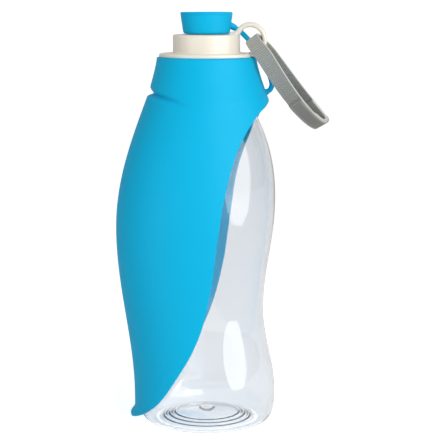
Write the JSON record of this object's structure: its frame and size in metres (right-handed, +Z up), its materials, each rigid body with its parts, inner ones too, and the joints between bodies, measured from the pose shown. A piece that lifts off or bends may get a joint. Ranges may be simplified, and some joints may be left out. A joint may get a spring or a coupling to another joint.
{
  "type": "dog travel water bottle",
  "caption": "Clear waisted squeeze bottle in a silicone sleeve whose long leaf folds out as a drinking trough, with screw cap, plug on a tether and webbing strap.",
  "frame": {"origin": "middle of the bottle's foot ring, on the surface it stands on", "axes": "+Z up along the bottle axis; +X towards the carrying eye and strap, opposite the leaf's spine; +Y away from the side that the picture shows"},
  "size_m": [0.1138, 0.0816, 0.22],
  "materials": {
    "clear_plastic": "clear gloss",
    "blue_silicone": "satin",
    "cream_plastic": "satin",
    "white_seal": "matte",
    "gray_webbing": "woven"
  },
  "bodies": {
    "bottle": {"bottle": "clear_plastic", "sleeve_collar": "blue_silicone", "plug_tether": "blue_silicone"},
    "leaf_upper": {"leaf_upper": "blue_silicone"},
    "leaf_middle": {"leaf_middle": "blue_silicone"},
    "leaf_tip": {"leaf_tip": "blue_silicone"},
    "seal": {"cap_seal": "white_seal"},
    "cap": {"screw_cap": "cream_plastic"},
    "plug": {"plug": "blue_silicone"},
    "strap": {"strap_webbing": "gray_webbing", "strap_overlap": "gray_webbing"}
  },
  "joints": [
    {"name": "leaf_fold", "type": "hinge", "parent": "bottle", "child": "leaf_upper", "pos_m": [-0.02933, 0, 0.177], "axis": [0, 1, 0], "range_deg": [0, 60]},
    {"name": "leaf_bend", "type": "hinge", "parent": "leaf_upper", "child": "leaf_middle", "pos_m": [-0.04909, 0, 0.112], "axis": [0, 1, 0], "range_deg": [0, 50]},
    {"name": "leaf_curl", "type": "hinge", "parent": "leaf_middle", "child": "leaf_tip", "pos_m": [-0.0442, 0, 0.056], "axis": [0, 1, 0], "range_deg": [0, 40]},
    {"name": "cap_lift", "type": "slide", "parent": "bottle", "child": "seal", "axis": [0, 0, 1], "range_m": [0, 0.0081]},
    {"name": "cap_turn", "type": "hinge", "parent": "seal", "child": "cap", "pos_m": [0, 0, 0.2], "axis": [0, 0, 1], "range_deg": [0, 720]},
    {"name": "plug_pull", "type": "slide", "parent": "seal", "child": "plug", "axis": [0, 0, 1], "range_m": [0, 0.01], "deforming": ["plug_tether"]},
    {"name": "strap_swing", "type": "hinge", "parent": "cap", "child": "strap", "pos_m": [0.0286, -0.0104, 0.2005], "axis": [0.604, -0.2198, 0.766], "range_deg": [-60, 15]}
  ],
  "couplings": [
    {"joint": "leaf_bend", "follows": "leaf_fold", "ratio": 0.8333},
    {"joint": "leaf_curl", "follows": "leaf_fold", "ratio": 0.6666},
    {"joint": "cap_lift", "follows": "cap_turn", "m_per_rad": 0.00063662}
  ]
}
